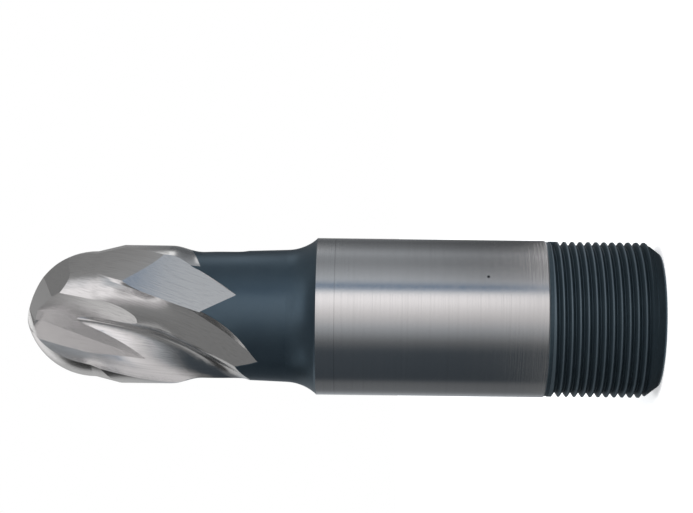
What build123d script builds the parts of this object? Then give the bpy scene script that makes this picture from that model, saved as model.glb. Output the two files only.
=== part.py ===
from build123d import *
import math
import os

# A ball-nosed slot drill with a screwed shank, standing on its shank end.
# Millimetres and degrees. The origin is the middle of the shank's end face,
# and +Z runs along the axis to the tip of the ball.
# An angle about the axis is measured from +X toward +Y.

# Heights along the axis
OVERALL = 100.5
RING_BOTTOM = 17.6
RING_TOP = 18.1
SHANK_TOP = 54.65
SHOULDER_LENGTH = 4.4
NECK_TOP = 72.6
HEAD_BOTTOM = 77.6

# Radii
SHANK_R = 12.5
HEAD_R = 11.0
NECK_R_LOW = 10.55
NECK_R_HIGH = 10.05
THREAD_R = 12.4
RING_R = 12.3
END_RIM_R = 10.6

# Screwed end
THREAD_PITCH = 1.27
THREAD_DEPTH = 0.72
THREAD_ROOT = 0.12
THREAD_MOUTH = 1.08
THREAD_START = 0.65
THREAD_RISE = 16.38
THREAD_TURN = 37.0
END_CHAMFER = 2.4
RIM_CHAMFER = 0.15
SHOULDER_CHAMFER = 0.3

# Centre hole in the shank end
CENTRE_R = 2.6
CENTRE_ANGLE = 60.0
PILOT_R = 1.0
PILOT_DEPTH = 2.4
PILOT_POINT = 118.0

# Cutting edges and flutes
FLUTES = 2
EDGE_ANGLE = 43.4
HELIX_RATE = 2.44
BALL_RATE = 1.4
CORE_R = 3.9
FLUTE_WHEEL_R = 45.0
FLUTE_WHEEL_Z = 88.0
FORM_BOTTOM = 60.9
FORM_STEPS = 20

# Ground faces of a tooth, as angles that trail its cutting edge
LAND_END = 45.0
BACK_END = 87.0
STEP_END = 90.5
HEEL_END = 125.0
BACK_SWING = 31.0
STEP_SWING = 25.0
HEEL_SWING = 5.5
FRONT_SWING = 17.0

# Back face, from the land to the step
BACK_R = 9.2
FRONT_BACK_R = 7.8
BACK_LEVEL_Z = 84.0
BACK_RISE = 0.09
BACK_BULGE = 0.12
BACK_OVER = 0.4
BACK_START_OVER = 0.15
FRONT_LEVEL_Z = 87.0
TOP_LEVEL_Z = 95.0

# Lower face, from the step to the heel
STEP_R = 8.7
STEP_LEVEL_Z = 80.0
STEP_FADE_Z = 75.0
STEP_UNDER = 0.1
HEEL_R = 7.0
HEEL_DROP = 0.9
HEEL_WHEEL_R = 14.0
HEEL_WHEEL_Z = 80.0
HEEL_UNDER = 0.4
CORE_UNDER = 0.3
HEEL_BOTTOM = 62.9
HEEL_BULGE = 0.15

# Flat on which the lower face runs out
LOW_FLAT_ANGLE = -115.3
LOW_FLAT_R = 9.75
LOW_FLAT_Z = 63.3
LOW_FLAT_SLOPE = 0.173
LOW_FLAT_TOP = 76.0
LOW_FLAT_LIFT = 0.035
HEEL_LOW_Z = 73.0
HEEL_HIGH_Z = 80.0

# Flat where the back face runs out on the neck
FLAT_ANGLE = -69.0
FLAT_R = 8.7
FLAT_LEVEL_Z = 80.0
FLAT_WHEEL_R = 60.0
FLAT_WHEEL_WIDTH = 30.0
FLAT_OVER = 0.03
FLAT_TIP_Z = 66.6
FLAT_TIP_ANGLE = -72.2
FLAT_CORNER_Z = 71.6
FLAT_CORNER_ANGLE = -85.5
FLAT_SIDE_Z = 71.0
FLAT_SIDE_ANGLE = -53.4
FLAT_SIDE_TOP = 74.4

# Relief ground on the ball behind each edge
PRIMARY_SHIFT = 0.8
SECONDARY_SHIFT = 1.35
PRIMARY_WIDTH = 1.0
RELIEF_DIRECTION = -37.0
RELIEF_STEM = 0.1
RELIEF_LENGTH = 6.0
RELIEF_FLARE = 1.5

# Gash and facets between the two end edges
RAKE_DIRECTION = -32.0
RAKE_ANGLE = 14.0
RAKE_OFFSET = -0.1
RAKE_LEVEL = 98.4
FLOOR_ALONG = 0.36
FLOOR_ACROSS = 0.72
FACET_ACROSS = 1.247
FACET_START = 4.8
SIDE_ANGLE = -125.0
SIDE_R = 5.85
SIDE_SLOPE = 0.27
SIDE_LEVEL_Z = 84.0

# How far cutters reach past the blank
CLEAR = 2.0
MARGIN = 1.0
FORM_OVER = 1.2
CUTTER = 60.0

OUTER_R = HEAD_R + FORM_OVER
BALL_Z = OVERALL - HEAD_R
RELIEF_BOTTOM = BALL_Z - RELIEF_STEM - RELIEF_LENGTH
NECK_BOTTOM = SHANK_TOP + SHOULDER_LENGTH
UPRIGHT = (Align.CENTER, Align.CENTER, Align.MIN)


def polar(radius, angle, z=0.0):
    turn = math.radians(angle)
    return Vector(radius * math.cos(turn), radius * math.sin(turn), z)


def blend(z, low_z, low_value, high_z, high_value):
    share = min(max((z - low_z) / (high_z - low_z), 0.0), 1.0)
    return low_value + (high_value - low_value) * share


def wheel_rise(z, start, wheel_r):
    """How far a grinding wheel has lifted out of the cut below its start height."""
    drop = min(max(start - z, 0.0), wheel_r * 0.98)
    return wheel_r - math.sqrt(wheel_r**2 - drop**2)


def half_space(point, normal, size=CUTTER):
    """A block whose flat face passes through the point and looks back along the normal."""
    return Plane(origin=point, z_dir=normal) * Box(size, size, size, align=UPRIGHT)


def both_teeth(cutter):
    return [Rot(0, 0, 360 / FLUTES * index) * cutter for index in range(FLUTES)]


# The turned blank: chamfered screw end, ring, shank, shoulder, neck and ball


def make_blank():
    middle = math.sqrt(0.5) * HEAD_R
    shoulder_r = SHANK_R - SHOULDER_CHAMFER
    with BuildPart() as blank:
        with BuildSketch(Plane.XZ):
            with BuildLine():
                Polyline(
                    (0, OVERALL),
                    (0, 0),
                    (END_RIM_R, 0),
                    (THREAD_R, END_CHAMFER),
                    (THREAD_R, RING_BOTTOM),
                    (RING_R, RING_BOTTOM),
                    (RING_R, RING_TOP),
                    (SHANK_R - RIM_CHAMFER, RING_TOP),
                    (SHANK_R, RING_TOP + 2 * RIM_CHAMFER),
                    (SHANK_R, SHANK_TOP - SHOULDER_CHAMFER),
                    (shoulder_r, SHANK_TOP),
                )
                TangentArc(
                    (NECK_R_LOW, NECK_BOTTOM),
                    (shoulder_r, SHANK_TOP),
                    tangent=(NECK_R_LOW - NECK_R_HIGH, NECK_BOTTOM - NECK_TOP),
                )
                Line((NECK_R_LOW, NECK_BOTTOM), (NECK_R_HIGH, NECK_TOP))
                Spline(
                    (NECK_R_HIGH, NECK_TOP),
                    (HEAD_R, HEAD_BOTTOM),
                    tangents=[(0, 1), (0, 1)],
                )
                Line((HEAD_R, HEAD_BOTTOM), (HEAD_R, BALL_Z))
                ThreePointArc((HEAD_R, BALL_Z), (middle, BALL_Z + middle), (0, OVERALL))
            make_face()
        revolve(axis=Axis.Z)
    return blank.part


# The screw thread is one V-shaped groove swept along a right-hand helix


def make_thread_groove():
    path = Helix(THREAD_PITCH, THREAD_RISE, THREAD_R, center=(0, 0, THREAD_START))
    flank = (THREAD_MOUTH - THREAD_ROOT) / 2 / THREAD_DEPTH
    over = 0.08
    mouth = THREAD_MOUTH / 2 + flank * over
    outline = Polyline(
        (-THREAD_DEPTH, -THREAD_ROOT / 2),
        (-THREAD_DEPTH, THREAD_ROOT / 2),
        (over, mouth),
        (over, -mouth),
        close=True,
    )
    profile = Plane(origin=path @ 0, z_dir=path % 0, x_dir=(1, 0, 0)) * make_face(outline)
    groove = sweep(profile, path=path, is_frenet=True)
    return Rot(0, 0, THREAD_TURN) * groove


def make_centre_hole():
    cone_depth = (CENTRE_R - PILOT_R) / math.tan(math.radians(CENTRE_ANGLE / 2))
    point_depth = PILOT_R / math.tan(math.radians(PILOT_POINT / 2))
    pilot_end = cone_depth + PILOT_DEPTH
    with BuildPart() as hole:
        with BuildSketch(Plane.XZ):
            with BuildLine():
                Polyline(
                    (0, 0),
                    (CENTRE_R, 0),
                    (PILOT_R, cone_depth),
                    (PILOT_R, pilot_end),
                    (0, pilot_end + point_depth),
                    close=True,
                )
            make_face()
        revolve(axis=Axis.Z)
    return hole.part


# The fluted form: cross sections that turn with height, joined by a loft


def edge_angle(z):
    below = HELIX_RATE * (min(z, BALL_Z) - BALL_Z)
    return EDGE_ANGLE + below + BALL_RATE * max(z - BALL_Z, 0.0)


def neck_radius(z):
    slope = (NECK_R_LOW - NECK_R_HIGH) / (NECK_TOP - NECK_BOTTOM)
    return NECK_R_HIGH + slope * (NECK_TOP - z)


def run_out(z):
    return blend(z, HEEL_BOTTOM, 1.0, STEP_FADE_Z, 0.0)


def back_radius(z):
    if z >= BACK_LEVEL_Z:
        return blend(z, BACK_LEVEL_Z, BACK_R, TOP_LEVEL_Z, FRONT_BACK_R)
    return min(BACK_R + BACK_RISE * (BACK_LEVEL_Z - z), HEAD_R + BACK_OVER)


def flat_radius(z, angle):
    """Distance from the axis to the flat on which the back face runs out."""
    level = FLAT_R + wheel_rise(FLAT_LEVEL_Z - abs(z - FLAT_LEVEL_Z), FLAT_LEVEL_Z, FLAT_WHEEL_R)
    return level / max(math.cos(math.radians(angle - FLAT_ANGLE)), 0.3)


def low_flat_radius(z, angle):
    """Distance from the axis to the flat on which the lower face runs out."""
    level = LOW_FLAT_R - LOW_FLAT_SLOPE * (z - LOW_FLAT_Z)
    level = level + LOW_FLAT_LIFT * max(z - LOW_FLAT_TOP, 0.0) ** 2
    return level / max(math.cos(math.radians(angle - LOW_FLAT_ANGLE)), 0.3)


def step_radius(z, angle):
    """Below the level height, only the two flats set the lower face's depth."""
    level = STEP_R if z >= STEP_LEVEL_Z else OUTER_R
    level = min(level, flat_radius(z, angle) - FLAT_OVER)
    return min(level, low_flat_radius(z, angle), back_radius(z) - STEP_UNDER)


def heel_radius(z, angle):
    lifted = HEEL_R + wheel_rise(z, HEEL_WHEEL_Z, HEEL_WHEEL_R)
    lifted = min(lifted, low_flat_radius(z, angle), OUTER_R - HEEL_UNDER)
    return lifted - blend(z, FRONT_LEVEL_Z, 0.0, TOP_LEVEL_Z, HEEL_DROP)


def core_radius(z, heel):
    return min(CORE_R + wheel_rise(z, FLUTE_WHEEL_Z, FLUTE_WHEEL_R), heel - CORE_UNDER)


def form_section(z):
    back = back_radius(z)
    swing = blend(z, FRONT_LEVEL_Z, 0.0, TOP_LEVEL_Z, FRONT_SWING)
    step_turn = STEP_END + STEP_SWING * run_out(z) ** 1.67 - swing
    back_turn = BACK_END + BACK_SWING * run_out(z) ** 4.4 - swing
    back_turn = min(back_turn, step_turn - 0.5)
    heel_turn = HEEL_END + blend(z, HEEL_LOW_Z, HEEL_SWING, HEEL_HIGH_Z, 0.0)
    first = edge_angle(z)
    step = step_radius(z, first - step_turn)
    heel = heel_radius(z, first - heel_turn)
    core = core_radius(z, heel)
    depth = OUTER_R - core
    middle_turn = (step_turn + heel_turn) / 2
    middle = (step + heel) / 2 + HEEL_BULGE
    middle = min(middle, low_flat_radius(z, first - middle_turn) + 0.01)
    with BuildSketch(Plane.XY.offset(z)) as section:
        with BuildLine():
            for index in range(FLUTES):
                edge = edge_angle(z) + index * 360 / FLUTES
                land_end = edge - LAND_END
                back_end = edge - back_turn
                step_end = edge - step_turn
                heel_end = edge - heel_turn
                next_edge = edge - 360 / FLUTES
                back_start = polar(HEAD_R + BACK_START_OVER, land_end - 1)
                # the land is left at the blank's own surface
                ThreePointArc(
                    polar(OUTER_R, edge),
                    polar(OUTER_R, (edge + land_end) / 2),
                    polar(OUTER_R, land_end),
                )
                Line(polar(OUTER_R, land_end), back_start)
                # back face
                ThreePointArc(
                    back_start,
                    polar(0.47 * (HEAD_R + back) + BACK_BULGE, (land_end + back_end) / 2),
                    polar(back, back_end),
                )
                # step down to the lower face
                Line(polar(back, back_end), polar(step, step_end))
                ThreePointArc(
                    polar(step, step_end),
                    polar(middle, edge - middle_turn),
                    polar(heel, heel_end),
                )
                # flute, from the heel down to the core and up to the next edge
                Spline(
                    polar(heel, heel_end),
                    polar(core + 0.42 * (heel - core), heel_end - 14),
                    polar(core, heel_end - 27),
                    polar(core + 0.18 * depth, next_edge + 8),
                    polar(core + 0.55 * depth, next_edge - 1.5),
                    polar(OUTER_R, next_edge),
                )
        make_face()
    return section.sketch.faces()[0]


def make_fluting():
    """Everything of the head zone that lies outside the fluted form."""
    top = OVERALL + CLEAR
    rise = (top - FORM_BOTTOM) / FORM_STEPS
    form = loft([form_section(FORM_BOTTOM + rise * index) for index in range(FORM_STEPS + 1)])
    height = top - FORM_BOTTOM - MARGIN
    zone = Pos(0, 0, FORM_BOTTOM) * Cylinder(OUTER_R + MARGIN, height, align=UPRIGHT)
    return zone - form


def neck_point(z, angle):
    return polar(neck_radius(z), angle, z)


def beside_edge(first, second, inside):
    """The space on the inside point's side of a straight edge across the neck."""
    middle = (first + second) * 0.5
    normal = (second - first).cross(Vector(middle.X, middle.Y, 0))
    if normal.dot(inside - middle) < 0:
        normal = normal * -1
    return half_space(middle, normal, 2 * CUTTER)


def make_flat():
    """A wheel-ground flat that ends in a point on the neck."""
    out = polar(1.0, FLAT_ANGLE)
    centre = polar(FLAT_R + FLAT_WHEEL_R, FLAT_ANGLE, FLAT_LEVEL_Z)
    across = Plane(origin=centre, z_dir=Vector(-out.Y, out.X, 0))
    wheel = across * Cylinder(FLAT_WHEEL_R, FLAT_WHEEL_WIDTH)
    near = half_space(Vector(0, 0, FLAT_LEVEL_Z), out, 2 * CUTTER)
    tip = neck_point(FLAT_TIP_Z, FLAT_TIP_ANGLE)
    inside = neck_point(NECK_TOP, FLAT_ANGLE)
    end = beside_edge(tip, neck_point(FLAT_CORNER_Z, FLAT_CORNER_ANGLE), inside)
    side = beside_edge(tip, neck_point(FLAT_SIDE_Z, FLAT_SIDE_ANGLE), inside)
    below = Pos(0, 0, FLAT_SIDE_TOP - 2 * CUTTER) * Box(
        2 * CUTTER, 2 * CUTTER, 2 * CUTTER, align=UPRIGHT
    )
    return (wheel & end & near) - (below - side)


# The ball end: facets, gash and relief


def rake_front():
    """The space ahead of the end cutting edge."""
    tilt = math.radians(RAKE_ANGLE)
    ahead = polar(1.0, RAKE_DIRECTION)
    normal = ahead * math.cos(tilt) - Vector(0, 0, math.sin(tilt))
    return half_space(ahead * RAKE_OFFSET + Vector(0, 0, RAKE_LEVEL), normal)


def end_normal(across_slope):
    """Normal of an end facet that falls away from the edge and along it."""
    ahead = polar(across_slope, RAKE_DIRECTION)
    along = polar(FLOOR_ALONG, RAKE_DIRECTION - 90)
    return (ahead + along + Vector(0, 0, 1)).normalized()


def make_facet():
    start = polar(FACET_START, RAKE_DIRECTION, OVERALL - FLOOR_ACROSS * FACET_START)
    return half_space(start, end_normal(FACET_ACROSS))


def make_gash():
    return half_space(Vector(0, 0, OVERALL), end_normal(FLOOR_ACROSS)) & rake_front()


def make_gash_side():
    """A narrow plane along the heel that runs out down the flute."""
    out = polar(1.0, SIDE_ANGLE)
    normal = (out + Vector(0, 0, SIDE_SLOPE)).normalized()
    side = half_space(polar(SIDE_R, SIDE_ANGLE, SIDE_LEVEL_Z), normal, CUTTER / 2)
    return side & rake_front()


def relieved_ball(shift, extra):
    """The ball and a little of the body below it, moved back from the edge."""
    centre = polar(shift, RELIEF_DIRECTION)
    radius = HEAD_R + extra
    low = RELIEF_BOTTOM + RELIEF_LENGTH
    ball = Pos(centre.X, centre.Y, BALL_Z) * Sphere(radius)
    stem = Pos(centre.X, centre.Y, low) * Cylinder(radius, BALL_Z - low, align=UPRIGHT)
    flare = Pos(centre.X, centre.Y, RELIEF_BOTTOM) * Cone(
        radius + RELIEF_FLARE, radius, RELIEF_LENGTH, align=UPRIGHT
    )
    return ball + stem + flare


def make_relief():
    primary = relieved_ball(PRIMARY_SHIFT, 0.0)
    step = (SECONDARY_SHIFT - PRIMARY_SHIFT) * math.sin(PRIMARY_WIDTH / HEAD_R)
    secondary = relieved_ball(SECONDARY_SHIFT, step)
    height = OVERALL - RELIEF_BOTTOM + MARGIN
    zone = Pos(0, 0, RELIEF_BOTTOM) * Cylinder(OUTER_R + MARGIN, height, align=UPRIGHT)
    return zone - rake_front() - (primary & secondary)


# The whole tool is one ground piece

body = make_blank() - make_fluting()
for cutter in (make_flat, make_facet, make_gash, make_gash_side, make_relief):
    body = body - both_teeth(cutter())
body = body - make_centre_hole()
body = body - make_thread_groove()

os.makedirs("parts", exist_ok=True)
export_step(body, "parts/slot_drill.step")
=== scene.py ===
# %% [markdown]
# The object is a ball-nosed slot drill: one bar of tool steel, ground all over, with two
# helical teeth at one end and a screw thread at the other. The solid comes ready made from
# the packed model, so this script gives it its finishes, its light and its camera.

import math

import bpy
from mathutils import Matrix, Vector

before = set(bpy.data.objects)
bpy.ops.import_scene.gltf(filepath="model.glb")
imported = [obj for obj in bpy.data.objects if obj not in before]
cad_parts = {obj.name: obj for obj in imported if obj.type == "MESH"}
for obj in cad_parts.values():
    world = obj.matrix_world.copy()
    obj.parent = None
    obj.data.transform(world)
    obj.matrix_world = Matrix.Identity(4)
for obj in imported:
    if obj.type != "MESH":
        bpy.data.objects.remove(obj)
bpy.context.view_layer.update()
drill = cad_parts["slot_drill"]

# %% [markdown]
# A finish that changes over the tool is a sum of masks and noises. It could be clicked
# together in the shader editor, but a formula is easier to read as a plain expression. The
# next cell wraps a node's output in a small class, so that writing a * b + c adds the Math
# nodes for it.

# %% A socket that can be used in expressions
class Link:
    def __init__(self, finish, socket):
        self.finish = finish
        self.socket = socket

    def math(self, operation, *others):
        return self.finish.math(operation, self, *others)

    def __add__(self, other):
        return self.math("ADD", other)

    def __radd__(self, other):
        return self.math("ADD", other)

    def __sub__(self, other):
        return self.math("SUBTRACT", other)

    def __rsub__(self, other):
        return self.finish.math("SUBTRACT", other, self)

    def __mul__(self, other):
        return self.math("MULTIPLY", other)

    def __rmul__(self, other):
        return self.math("MULTIPLY", other)

    def __pow__(self, other):
        return self.math("POWER", other)


print("a socket takes + - * and **")

# %% [markdown]
# Steel, paper and the white room each have a tree of nodes. One method adds any node: it
# sets the node's own settings first and then feeds each socket with a value or a link. The
# nodes that are used often get a short method of their own. Colours go through the Mix
# node, because a Math node would turn them grey.

# %% A finish that is written node by node
class Finish:
    def __init__(self, name, material=None):
        self.material = material or bpy.data.materials.new(name)
        self.material.use_nodes = True
        self.tree = self.material.node_tree
        self.tree.nodes.clear()

    def feed(self, socket, value):
        if isinstance(value, Link):
            self.tree.links.new(value.socket, socket)
        else:
            socket.default_value = value

    def node(self, kind, settings=None, sockets=None, out=0):
        made = self.tree.nodes.new(kind)
        for key, value in (settings or {}).items():
            setattr(made, key, value)
        for key, value in (sockets or {}).items():
            self.feed(made.inputs[key], value)
        if out is None or not made.outputs:
            return made
        return Link(self, made.outputs[out])

    def math(self, operation, *values):
        return self.node("ShaderNodeMath", {"operation": operation}, dict(enumerate(values)))

    def smooth(self, value, low, high):
        """0 below low and 1 above high, with a soft step between them."""
        settings = {"interpolation_type": "SMOOTHSTEP"}
        sockets = {"Value": value, "From Min": low, "From Max": high}
        return self.node("ShaderNodeMapRange", settings, sockets)

    def mix(self, factor, first, second):
        """A colour between two colours; sockets 6 and 7 are the Mix node's colours."""
        sockets = {"Factor": factor, 6: first, 7: second}
        return self.node("ShaderNodeMix", {"data_type": "RGBA"}, sockets, out=2)

    def vector(self, x, y, z):
        return self.node("ShaderNodeCombineXYZ", None, {"X": x, "Y": y, "Z": z})

    def noise(self, place, scale, detail, roughness):
        sockets = {"Vector": place, "Scale": scale, "Detail": detail, "Roughness": roughness}
        return self.node("ShaderNodeTexNoise", {"noise_dimensions": "3D"}, sockets)

    def seen(self):
        """1 where the camera, a mirror or a glass looks, 0 for the light on other things."""
        path = self.node("ShaderNodeLightPath", out=None)
        camera, glossy, glass = (
            Link(self, path.outputs[name])
            for name in ("Is Camera Ray", "Is Glossy Ray", "Is Transmission Ray")
        )
        return self.math("MAXIMUM", self.math("MAXIMUM", camera, glossy), glass)


print("methods of a finish:", [name for name in vars(Finish) if not name.startswith("_")])

# %% [markdown]
# The neck and the thread kept the dark oxide of the heat treatment, while the shank, the
# flutes and the backs of the teeth were ground bright afterwards. The drill is one piece, so
# one material has to know which surface a point is on. Painting it by hand would need a
# map. Everything was turned about the Z axis, so the radius and the height of a point say
# it as well. Millimetres keep the numbers close to a drawing.

# %% Where a point lies on the tool
MILLIMETRES = 1000.0

steel = Finish("ground_and_oxidised_steel")
place = steel.node("ShaderNodeTexCoord", out="Object")
parts = steel.node("ShaderNodeSeparateXYZ", None, {"Vector": place}, out=None)
x, y, z = (Link(steel, part) * MILLIMETRES for part in parts.outputs)
radius = (x * x + y * y) ** 0.5
turn = steel.math("ARCTAN2", y, x)
print("nodes for a point's place:", len(steel.tree.nodes))

# %% [markdown]
# The blank was turned in a lathe before the flutes were ground: a concave shoulder, a
# tapered neck and a smooth swell up to the head. The same outline is worked out here again,
# as a radius for each height, to find what the grinding wheel left of it.

# %% Outline of the turned neck
NECK_LOW = 59.05
NECK_TOP = 72.6
HEAD_LOW = 77.6
NECK_R_LOW = 10.55
NECK_R_HIGH = 10.05
HEAD_R = 11.0
SHOULDER_R = 6.69

taper = (NECK_R_LOW - NECK_R_HIGH) / (NECK_TOP - NECK_LOW)
on_neck = NECK_R_HIGH + taper * (NECK_TOP - steel.math("MAXIMUM", z, NECK_LOW))
on_neck = steel.math("MAXIMUM", on_neck, NECK_R_HIGH)
below = steel.math("MINIMUM", steel.math("MAXIMUM", NECK_LOW - z, 0.0), SHOULDER_R)
shoulder_rise = SHOULDER_R - (SHOULDER_R**2 - below * below) ** 0.5
swell = steel.smooth(z, NECK_TOP, HEAD_LOW) * (HEAD_R - NECK_R_HIGH)
outline = on_neck + shoulder_rise + swell
print("the neck loses", round(taper, 4), "mm of radius in each mm")

# %% [markdown]
# A point on that outline was never touched by the wheel, so it is still oxidised. At the
# top of the neck the oxide stops where the lands were ground, on a line that climbs round
# the tool with each tooth. A noise could roughen that line, but the real one is sharp.

# %% Mask of the oxidised neck
SHANK_TOP = 54.65
SHANK_EDGE = (SHANK_TOP - 0.34, SHANK_TOP - 0.28)
SKIN = (-0.09, -0.045)
LOW_NECK = (60.0, 60.4)
LAND_TURN = math.radians(-41.0)
LAND_END_LOW = 72.55
LAND_END_TOP = 75.2
LAND_END_CLIMB = 2.25 / math.radians(41.0)
LAND_END_SOFT = 0.1

untouched = steel.smooth(radius - outline, *SKIN)
untouched = steel.math("MAXIMUM", untouched, 1.0 - steel.smooth(z, *LOW_NECK))
half_turn = steel.math("WRAP", turn - LAND_TURN, math.pi, 0.0)
land_end = steel.math("MINIMUM", LAND_END_LOW + LAND_END_CLIMB * half_turn, LAND_END_TOP)
past_land = steel.smooth(z - land_end, -LAND_END_SOFT, LAND_END_SOFT)
neck_oxide = untouched * steel.smooth(z, *SHANK_EDGE) * (1.0 - past_land)
print("the neck's oxide starts at", SHANK_EDGE[0], "mm")

# %% [markdown]
# The ring and the thread at the other end are oxidised all over, up to the edge of the
# ground shank. A height alone marks them.

# %% Mask of the oxidised thread
SHANK_LOW = 18.1
THREAD_EDGE = (SHANK_LOW + 0.1, SHANK_LOW + 0.35)

thread_zone = 1.0 - steel.smooth(z, *THREAD_EDGE)
oxide = steel.math("MAXIMUM", neck_oxide, thread_zone)
print("the thread's oxide ends at", THREAD_EDGE[1], "mm")

# %% [markdown]
# Grinding leaves fine parallel scratches. On the shank they run round the axis, so a noise
# that changes quickly with height and slowly round the bar draws them. On the head they
# follow the flutes, so the same noise is turned with the helix. A photographed scratch map
# would show its seam on a round bar, and a noise in space has none.

# %% Grinding lines
HELIX_RATE = math.radians(2.44)
HEAD_LINES_START = (60.0, 60.5)
SHANK_LINE_SIZE = (0.04, 0.04, 6.0)
SHANK_BAND_SIZE = (0.01, 0.01, 0.9)
HEAD_LINE_SIZE = (5.0, 5.0, 0.10)


def stretched_noise(point, size, detail, roughness):
    stretched = steel.vector(*(part * share for part, share in zip(point, size)))
    return steel.noise(stretched, 1.0, detail, roughness)


shank_lines = stretched_noise((x, y, z), SHANK_LINE_SIZE, 4.0, 0.7)
shank_bands = stretched_noise((x, y, z), SHANK_BAND_SIZE, 2.0, 0.5)
twist = turn - z * HELIX_RATE
along = (radius * steel.math("COSINE", twist), radius * steel.math("SINE", twist), z)
head_lines = stretched_noise(along, HEAD_LINE_SIZE, 2.0, 0.5)
on_head = steel.smooth(z, *HEAD_LINES_START)
lines = head_lines * on_head + shank_lines * (1.0 - on_head)
print("the head's lines turn", round(math.degrees(HELIX_RATE), 2), "degrees in each mm")

# %% [markdown]
# The ground steel is a bright neutral grey with paler and darker patches, and its scratches
# are a little darker. The patches are weak, because the tool in the photograph is new.

# %% Colour of the ground steel
PATCH_SCALE = 45.0
GROUND_DARK = (0.86, 0.855, 0.85, 1.0)
GROUND_PALE = (0.93, 0.925, 0.92, 1.0)
SCRATCH = (0.58, 0.575, 0.57, 1.0)
SCRATCH_STEP = (0.45, 0.75)
SCRATCH_SHARE = 0.2
HEAD_SCRATCH_SHARE = 0.05

patches = steel.noise(place, PATCH_SCALE, 3.0, 0.5)
ground_colour = steel.mix(patches, GROUND_DARK, GROUND_PALE)
scratched = steel.smooth(lines, *SCRATCH_STEP) * (SCRATCH_SHARE + on_head * HEAD_SCRATCH_SHARE)
ground_colour = steel.mix(scratched, ground_colour, SCRATCH)
print("scratches take up to", SCRATCH_SHARE + HEAD_SCRATCH_SHARE, "of the colour")

# %% [markdown]
# The oxide is a thin blue-grey skin. Over the thread it is painted darker, as painted shade
# on its flanks and in its valleys, and its crests are painted paler, as a painted highlight.
# The radius tells a crest from a valley, so no map has to follow the helix.

# %% Colour of the oxide, with painted shade and a painted highlight on the thread
BLOTCH_SCALE = 260.0
OXIDE_DARK = (0.088, 0.132, 0.170, 1.0)
OXIDE_PALE = (0.118, 0.168, 0.208, 1.0)
# Painted shade: the thread's flanks and valleys are darker than the neck's oxide.
VALLEY_SHADE_DARK = (0.055, 0.085, 0.105, 1.0)
VALLEY_SHADE_PALE = (0.085, 0.120, 0.145, 1.0)
# Painted highlight: the thread's crests are paler.
CREST_HIGHLIGHT = (0.165, 0.215, 0.250, 1.0)
CREST_R = 12.4
CREST_HIGHLIGHT_STEP = (CREST_R - 0.12, CREST_R - 0.02)

blotch = steel.noise(place, BLOTCH_SCALE, 4.0, 0.55)
neck_colour = steel.mix(blotch, OXIDE_DARK, OXIDE_PALE)
valley_shade = steel.mix(blotch, VALLEY_SHADE_DARK, VALLEY_SHADE_PALE)
thread_shade_and_highlight = steel.mix(steel.smooth(radius, *CREST_HIGHLIGHT_STEP), valley_shade, CREST_HIGHLIGHT)
oxide_with_thread_shading = steel.mix(thread_zone, neck_colour, thread_shade_and_highlight)
colour = steel.mix(oxide, ground_colour, oxide_with_thread_shading)
# Above this radius the crests carry the painted highlight.
print("crests are rubbed above a radius of", CREST_HIGHLIGHT_STEP[0], "mm")

# %% [markdown]
# A grinding wheel that stops and starts again leaves a faint ring near the shoulder, and
# the shank has one small pit. They are too shallow to be worth cutting in the solid, so
# both are drawn by their distance in millimetres.

# %% Ring and pit
RING_Z = 51.45
RING_STEP = (0.03, 0.11)
RING_SHARE = 0.18
PIT = (6.43, -10.72, 27.7)
PIT_STEP = (0.02, 0.09)
PIT_SHARE = 0.92
MARK = (0.10, 0.10, 0.11, 1.0)

ring = 1.0 - steel.smooth(steel.math("ABSOLUTE", z - RING_Z), *RING_STEP)
pit_gap = (x - PIT[0]) ** 2.0 + (y - PIT[1]) ** 2.0 + (z - PIT[2]) ** 2.0
pit = 1.0 - steel.smooth(pit_gap, *PIT_STEP)
marks = steel.math("MAXIMUM", ring * RING_SHARE, pit * PIT_SHARE)
colour = steel.mix(marks * (1.0 - oxide), colour, MARK)
print("ring at", RING_Z, "mm, pit at", PIT)

# %% [markdown]
# Ground steel is nearly a mirror, blurred a little by its scratches. The oxide is rougher
# and hides part of the metal. Both could be two shaders with a mix between them, but one
# shader with a changing roughness and metal gives a clean edge and bakes well.

# %% Roughness and metal
GROUND_ROUGH = 0.11
LINE_ROUGH = 0.10
PATCH_ROUGH = 0.03
BAND_ROUGH = 0.05
OXIDE_ROUGH = 0.30
BLOTCH_ROUGH = 0.14
THREAD_ROUGH = 0.12
OXIDE_COVER = 0.05
THREAD_COVER = 0.08

ground_rough = GROUND_ROUGH + lines * LINE_ROUGH + patches * PATCH_ROUGH + shank_bands * BAND_ROUGH
oxide_rough = OXIDE_ROUGH + blotch * BLOTCH_ROUGH + thread_zone * THREAD_ROUGH
roughness = ground_rough * (1.0 - oxide) + oxide_rough * oxide
metallic = 1.0 - oxide * (OXIDE_COVER + thread_zone * THREAD_COVER)
print("roughness from", GROUND_ROUGH, "to", round(OXIDE_ROUGH + BLOTCH_ROUGH + THREAD_ROUGH, 2))

# %% [markdown]
# The scratches are a few hundredths of a millimetre deep at most. Cutting them would take
# millions of faces, so a bump gives their slope to the light and leaves the solid as it is.

# %% The surface of the drill
LINES_UNDER_OXIDE = 0.85
OXIDE_GRAIN = 0.6
BUMP_STRENGTH = 0.35
BUMP_DISTANCE = 0.00003

height = lines * (1.0 - oxide * LINES_UNDER_OXIDE) + blotch * oxide * OXIDE_GRAIN
bump_sockets = {"Strength": BUMP_STRENGTH, "Distance": BUMP_DISTANCE, "Height": height}
bump = steel.node("ShaderNodeBump", None, bump_sockets)
surface = {"Base Color": colour, "Metallic": metallic, "Roughness": roughness, "Normal": bump}
shader = steel.node("ShaderNodeBsdfPrincipled", None, surface)
steel.node("ShaderNodeOutputMaterial", None, {"Surface": shader})
drill.data.materials.clear()
drill.data.materials.append(steel.material)
print("nodes in the steel:", len(steel.tree.nodes))

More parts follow.
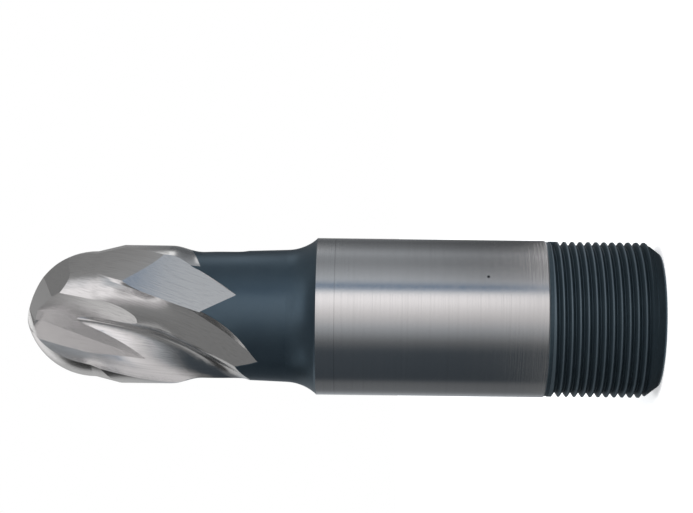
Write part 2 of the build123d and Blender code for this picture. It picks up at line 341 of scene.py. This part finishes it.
# %% [markdown]
# The photograph's ground is pure white. A room lit that brightly would wash out the steel,
# so the white that the camera sees is set apart from the light that falls on the tool.
# Mirrors and glass see the same white as the camera.

# %% The world
WHITE = (1.0, 1.0, 1.0, 1.0)
ROOM_LIGHT = (0.9, 0.95, 1.0, 1.0)
ROOM_STRENGTH = 0.5

world = bpy.data.worlds.new("white_room")
bpy.context.scene.world = world
room = Finish("white_room", world)
fill = room.node("ShaderNodeBackground", None, {"Color": ROOM_LIGHT, "Strength": ROOM_STRENGTH})
white = room.node("ShaderNodeBackground", None, {"Color": WHITE, "Strength": 1.0})
both = room.node("ShaderNodeMixShader", None, {0: room.seen(), 1: fill, 2: white})
room.node("ShaderNodeOutputWorld", None, {"Surface": both})
print("nodes in the room:", len(room.tree.nodes))

# %% [markdown]
# The tool stands on a sheet of white paper, large enough to fill every view. Paper that is
# only lit shows grey, so it also glows a little where the camera looks. It still takes the
# tool's soft shadow.

# %% The floor
FLOOR_SIZE = 6.0
PAPER = (0.8, 0.8, 0.8, 1.0)
PAPER_GLOW = 0.45

bpy.ops.mesh.primitive_plane_add(size=FLOOR_SIZE, location=(0, 0, 0))
floor = bpy.context.active_object
floor.name = "floor"
sheet = Finish("white_sheet")
paper = sheet.node("ShaderNodeBsdfDiffuse", None, {"Color": PAPER})
glow = sheet.node("ShaderNodeEmission", None, {"Color": WHITE, "Strength": PAPER_GLOW})
dark = sheet.node("ShaderNodeEmission", None, {"Color": WHITE, "Strength": 0.0})
lift = sheet.node("ShaderNodeMixShader", None, {0: sheet.seen(), 1: dark, 2: glow})
both = sheet.node("ShaderNodeAddShader", None, {0: paper, 1: lift})
sheet.node("ShaderNodeOutputMaterial", None, {"Surface": both})
floor.data.materials.append(sheet.material)
print("floor", FLOOR_SIZE, "m wide, nodes in the paper:", len(sheet.tree.nodes))

# %% [markdown]
# Polished steel shows what stands round it, so a photographer sets pale and dark cards
# beside it. They could be many small planes, but then each would have to be aimed. Here
# they are one ring of card with a floor and a roof, turned about the tool's own axis like a
# lampshade. The outline below runs from the tool's foot, out along the floor, up the wall
# and in again over the roof. The wall has more points where one card ends and another
# begins.

# %% Outline of the ring of cards
CARD_R = 0.15
CARD_SIDES = 180
CARD_FLOOR_Z = 0.0006
FOOT_EDGE = (0.0108, 0.0002)
FLOOR_RADII = (0.0125, 0.035, 0.055, 0.10, 0.145)
LOW_WALL = (0.004, 0.02, 0.04, 0.055, 0.065, 0.075, 0.085, 0.09, 0.096, 0.102)
HEAD_WALL = (0.106, 0.112, 0.12, 0.127, 0.130, 0.135, 0.15)
HIGH_WALL = (0.158, 0.166, 0.18, 0.188, 0.194, 0.20, 0.24)
ROOF = [(0.13, 0.28), (0.09, 0.31), (0.04, 0.33), (0.001, 0.335)]

card_floor = [FOOT_EDGE] + [(out, CARD_FLOOR_Z) for out in FLOOR_RADII]
card_wall = [(CARD_R, up) for up in LOW_WALL + HEAD_WALL + HIGH_WALL]
card_outline = card_floor + card_wall + ROOF
print("points in the ring's outline:", len(card_outline))

# %% [markdown]
# A card's colour is its brightness times a tint. Between two cards the colour blends, as
# it does in a soft studio, so that no hard line shows in the steel by accident. The helpers
# work on plain numbers, because the cards are coloured once, when their mesh is made.

# %% Helpers for the colours of the cards
GREY = (1.0, 1.0, 1.0)
WARM = (1.0, 0.97, 0.98)
COOL = (0.95, 1.0, 1.06)
SLATE = (0.82, 1.0, 1.2)
BLUE = (0.5, 0.95, 1.6)


def blended(first, second, share):
    return tuple(a + (b - a) * share for a, b in zip(first, second))


def eased(value, low, high):
    share = min(max((value - low) / (high - low), 0.0), 1.0)
    return share * share * (3.0 - 2.0 * share)


def tinted(card):
    return tuple(card[1] * part for part in card[2])


def shade(row, angle):
    """The colour of a row of cards at an angle, blended from card to card."""
    for first, second in zip(row, row[1:]):
        if first[0] <= angle <= second[0]:
            share = (angle - first[0]) / (second[0] - first[0])
            return blended(tinted(first), tinted(second), share)
    return tinted(row[0])


print("half way between a warm and a cool card:", blended(WARM, COOL, 0.5))

# %% [markdown]
# The shank and the neck show the lower part of the wall: a broad pale band above the
# middle, a thin blue line beside it, a dark lower side and a grey rim. On a cylinder each
# band is a card at its own angle. Each row below gives a card's angle in degrees, from the
# front toward the tool's +X side, its brightness and its tint.

# %% Cards level with the shank and the neck
LEVEL_CARDS = [
    (-180, 0.60, GREY),
    (-160, 0.41, COOL),
    (-136, 0.14, COOL),
    (-108, 0.11, COOL),
    (-100, 0.042, SLATE),
    (-48, 0.05, SLATE),
    (-34, 0.115, COOL),
    (-16, 0.31, COOL),
    (2, 0.56, WARM),
    (14, 0.74, WARM),
    (22, 0.89, WARM),
    (32, 0.90, WARM),
    (36, 0.58, COOL),
    (40, 0.13, BLUE),
    (45, 0.14, BLUE),
    (50, 0.43, COOL),
    (62, 0.33, COOL),
    (80, 0.22, COOL),
    (92, 0.23, COOL),
    (102, 0.30, COOL),
    (118, 0.16, COOL),
    (138, 0.10, COOL),
    (156, 0.14, COOL),
    (166, 0.41, GREY),
    (180, 0.60, GREY),
]
print("level cards:", len(LEVEL_CARDS))

# %% [markdown]
# The faces of the head are turned in many directions, and most of them show the wall
# above the tool's own height. Its cards are pale at the front, for the flutes, and dark at
# the side, for the backs of the teeth.

# %% Cards level with the head
RAISED_CARDS = [
    (-180, 0.36, GREY),
    (-146, 0.45, GREY),
    (-132, 0.40, GREY),
    (-122, 0.035, GREY),
    (-98, 0.035, GREY),
    (-88, 0.33, GREY),
    (-78, 0.33, GREY),
    (-70, 0.15, GREY),
    (-36, 0.20, GREY),
    (-24, 0.21, GREY),
    (-14, 0.36, WARM),
    (-5, 0.38, WARM),
    (3, 0.80, WARM),
    (28, 0.88, WARM),
    (38, 0.42, COOL),
    (54, 0.40, COOL),
    (75, 0.25, GREY),
    (110, 0.20, GREY),
    (180, 0.30, GREY),
]
print("raised cards:", len(RAISED_CARDS))

# %% [markdown]
# The ball looks up at the roof. It is dark on the side of the lower facets and bright over
# the relief and the gash, so that the facets stand apart from each other.

# %% Cards overhead
DOME_CARDS = [
    (-180, 0.45, GREY),
    (-165, 0.79, WARM),
    (-135, 0.69, GREY),
    (-118, 0.09, GREY),
    (-50, 0.09, GREY),
    (-14, 0.14, GREY),
    (0, 0.88, WARM),
    (50, 0.88, WARM),
    (75, 0.20, GREY),
    (140, 0.18, GREY),
    (180, 0.45, GREY),
]
print("overhead cards:", len(DOME_CARDS))

# %% [markdown]
# The chamfer, the thread's lower flanks and the lower ends of the flutes look down at the
# floor. Near the foot it is dark, and farther out it has cards of its own.

# %% Cards on the floor
FLOOR_CARDS = [
    (-180, 0.35, GREY),
    (-110, 0.14, GREY),
    (-40, 0.14, GREY),
    (0, 0.55, WARM),
    (75, 0.60, WARM),
    (100, 0.88, WARM),
    (150, 0.88, WARM),
    (180, 0.35, GREY),
]
FLOOR_MIDDLE = (0.07, 0.075, 0.08)
FLOOR_STEP = (0.034, 0.056)
FLOOR_TOP = 0.003
print("floor cards:", len(FLOOR_CARDS))

# %% [markdown]
# Four faces need a card that is only as large as what they show: the flat beside the neck,
# the heel's facet, the gash and the shoulder. Each small card has a colour, the angles
# where it fades in and out, and the heights where it does. A small card is laid over the
# row behind it.

# %% Small cards
SIDE_CARD = ((1.0, 1.0, 1.0), (100.0, 108.0), (122.0, 130.0), (0.062, 0.078), (0.095, 0.11))
RIM_CARD = ((0.66, 0.65, 0.65), (-96.0, -88.0), (-66.0, -60.0), (0.158, 0.166), (0.188, 0.194))
GASH_CARD = ((0.02, 0.021, 0.023), (4.0, 9.0), (28.0, 34.0), (0.100, 0.106), (0.127, 0.130))
ROOF_CARD = ((0.07, 0.075, 0.08), (-80.0, -60.0), (60.0, 80.0), (0.20, 0.23), (1.0, 1.1))


def laid_over(behind, card, angle, height):
    colour_here, angle_in, angle_out, height_in, height_out = card
    share = eased(angle, *angle_in) * (1.0 - eased(angle, *angle_out))
    share *= eased(height, *height_in) * (1.0 - eased(height, *height_out))
    return blended(behind, colour_here, share)


print("the side card at its middle:", laid_over(FLOOR_MIDDLE, SIDE_CARD, 115.0, 0.085))

# %% [markdown]
# Close to the floor the wall is a little darker, and more so above the blue line, where the
# shank's lower end shows it. With that, every height of the ring has its colour.

# %% Colour of a point of the ring
LOW_SHARE = 0.86
LOW_SHARE_UPPER = 0.42
UPPER_ANGLES = (44.0, 56.0)
LOW_TOP = 0.05
LOW_TOP_UPPER = 0.006
HEAD_STEP = (0.090, 0.102)
DOME_STEP = (0.15, 0.19)


def level_colour(angle, height):
    upper = eased(angle, *UPPER_ANGLES)
    share = LOW_SHARE - LOW_SHARE_UPPER * upper
    share += (1.0 - share) * eased(height, 0.0, LOW_TOP - LOW_TOP_UPPER * upper)
    level = blended((0.0, 0.0, 0.0), shade(LEVEL_CARDS, angle), share)
    return laid_over(level, SIDE_CARD, angle, height)


def raised_colour(angle, height):
    dome = laid_over(shade(DOME_CARDS, angle), ROOF_CARD, angle, height)
    raised = blended(shade(RAISED_CARDS, angle), dome, eased(height, *DOME_STEP))
    raised = laid_over(raised, RIM_CARD, angle, height)
    return laid_over(raised, GASH_CARD, angle, height)


def card_colour(angle, out, height):
    if height < FLOOR_TOP:
        return blended(FLOOR_MIDDLE, shade(FLOOR_CARDS, angle), eased(out, *FLOOR_STEP))
    raised_share = eased(height, *HEAD_STEP)
    return blended(level_colour(angle, height), raised_colour(angle, height), raised_share)


print("in front of the shank:", card_colour(0.0, CARD_R, 0.04))

# %% [markdown]
# The outline is turned about the axis in steps of two degrees. A Screw modifier would turn
# it too, but each point needs its own colour, so the points are written one by one with the
# colour beside them.

# %% The mesh of the ring
points = []
tints = []
faces = []
rows = len(card_outline)
for side in range(CARD_SIDES):
    angle = 360.0 * side / CARD_SIDES - 180.0
    turned = math.radians(angle)
    for row, (out, up) in enumerate(card_outline):
        points.append((out * math.sin(turned), -out * math.cos(turned), up))
        tints.append((*card_colour(angle, out, up), 1.0))
        if row:
            here = side * rows + row
            after = (side + 1) % CARD_SIDES * rows + row
            faces.append((here - 1, after - 1, after, here))
mesh = bpy.data.meshes.new("cards")
mesh.from_pydata(points, [], faces)
tint = mesh.color_attributes.new("card_colour", "FLOAT_COLOR", "POINT")
for index, colour_here in enumerate(tints):
    tint.data[index].color = colour_here
print("card faces:", len(faces))

# %% [markdown]
# A real card is lit by lamps. Here it glows with its own colour, which keeps the bands in
# the steel the same whatever the lamps do. The ring is hidden from the camera and lights
# nothing else: it is there to be seen in the steel.

# %% The glow of the cards
cards = bpy.data.objects.new("cards", mesh)
bpy.context.scene.collection.objects.link(cards)
glowing = Finish("cards")
shown = glowing.node("ShaderNodeVertexColor", {"layer_name": "card_colour"})
glow = glowing.node("ShaderNodeEmission", None, {"Color": shown, "Strength": 1.0})
glowing.node("ShaderNodeOutputMaterial", None, {"Surface": glow})
mesh.materials.append(glowing.material)
cards.visible_camera = False
cards.visible_diffuse = False
cards.visible_shadow = False
cards.visible_transmission = False
print("the ring is seen in mirrors only:", cards.visible_glossy)

# %% [markdown]
# The cards light nothing, so two soft lights do. One lamp stands beside the camera, and a
# broad sky light comes from above and lifts the floor. Neither shows as a spot in the
# steel, because a mirror would show the lamp's own square.

# %% Lamps
LAMP_PLACE = (0.3, -0.9, 0.45)
LAMP_SIZE = 0.5
LAMP_WATTS = 7.0
LAMP_AIM = (0.0, 0.0, 0.05)
SKY_STRENGTH = 2.2
SKY_WIDTH = math.radians(40)
SKY_TURN = (math.radians(25), 0, math.radians(10))


def add_light(name, kind, energy):
    light = bpy.data.objects.new(name, bpy.data.lights.new(name, kind))
    light.data.energy = energy
    bpy.context.scene.collection.objects.link(light)
    light.visible_glossy = False
    return light


lamp = add_light("lamp_front", "AREA", LAMP_WATTS)
lamp.data.size = LAMP_SIZE
lamp.location = LAMP_PLACE
lamp.rotation_mode = "QUATERNION"
lamp.rotation_quaternion = (Vector(LAMP_AIM) - lamp.location).to_track_quat("-Z", "Y")
sky = add_light("sky_light", "SUN", SKY_STRENGTH)
sky.data.angle = SKY_WIDTH
sky.rotation_euler = SKY_TURN
print("lamp of", LAMP_WATTS, "W and a sky light of", SKY_STRENGTH)

# %% [markdown]
# The photograph shows the tool lying across the picture. This tool stands on its end, so
# the camera looks at it level from the front and is turned on its side: the picture's right
# is down, toward the screwed end. The long lens and the shift put the tool where it is in
# the photograph.

# %% Camera
CAMERA_DISTANCE = 0.305
CAMERA_HEIGHT = 0.0456
CAMERA_LENS = 99.17
CAMERA_ROLL = 0.0125
CAMERA_SENSOR = 36.0
CAMERA_CLIP = (0.01, 50.0)
SHIFT = (-0.0368, 0.0872)

camera_data = bpy.data.cameras.new("camera")
camera = bpy.data.objects.new("camera", camera_data)
bpy.context.scene.collection.objects.link(camera)
bpy.context.scene.camera = camera
camera_data.lens = CAMERA_LENS
camera_data.sensor_width = CAMERA_SENSOR
camera_data.shift_x, camera_data.shift_y = SHIFT
camera_data.clip_start, camera_data.clip_end = CAMERA_CLIP
down = Vector((0, 0, -1))
aside = Vector((1, 0, 0))
toward = Vector((0, -1, 0))
picture_right = down * math.cos(CAMERA_ROLL) + aside * math.sin(CAMERA_ROLL)
picture_up = aside * math.cos(CAMERA_ROLL) - down * math.sin(CAMERA_ROLL)
pose = Matrix((picture_right, picture_up, toward)).transposed().to_4x4()
pose.translation = toward * CAMERA_DISTANCE - down * CAMERA_HEIGHT
camera.matrix_world = pose
bpy.context.scene.view_settings.view_transform = "Standard"
print("lens", CAMERA_LENS, "mm at", CAMERA_DISTANCE, "m")

# %% [markdown]
# No shape is added to the drill.
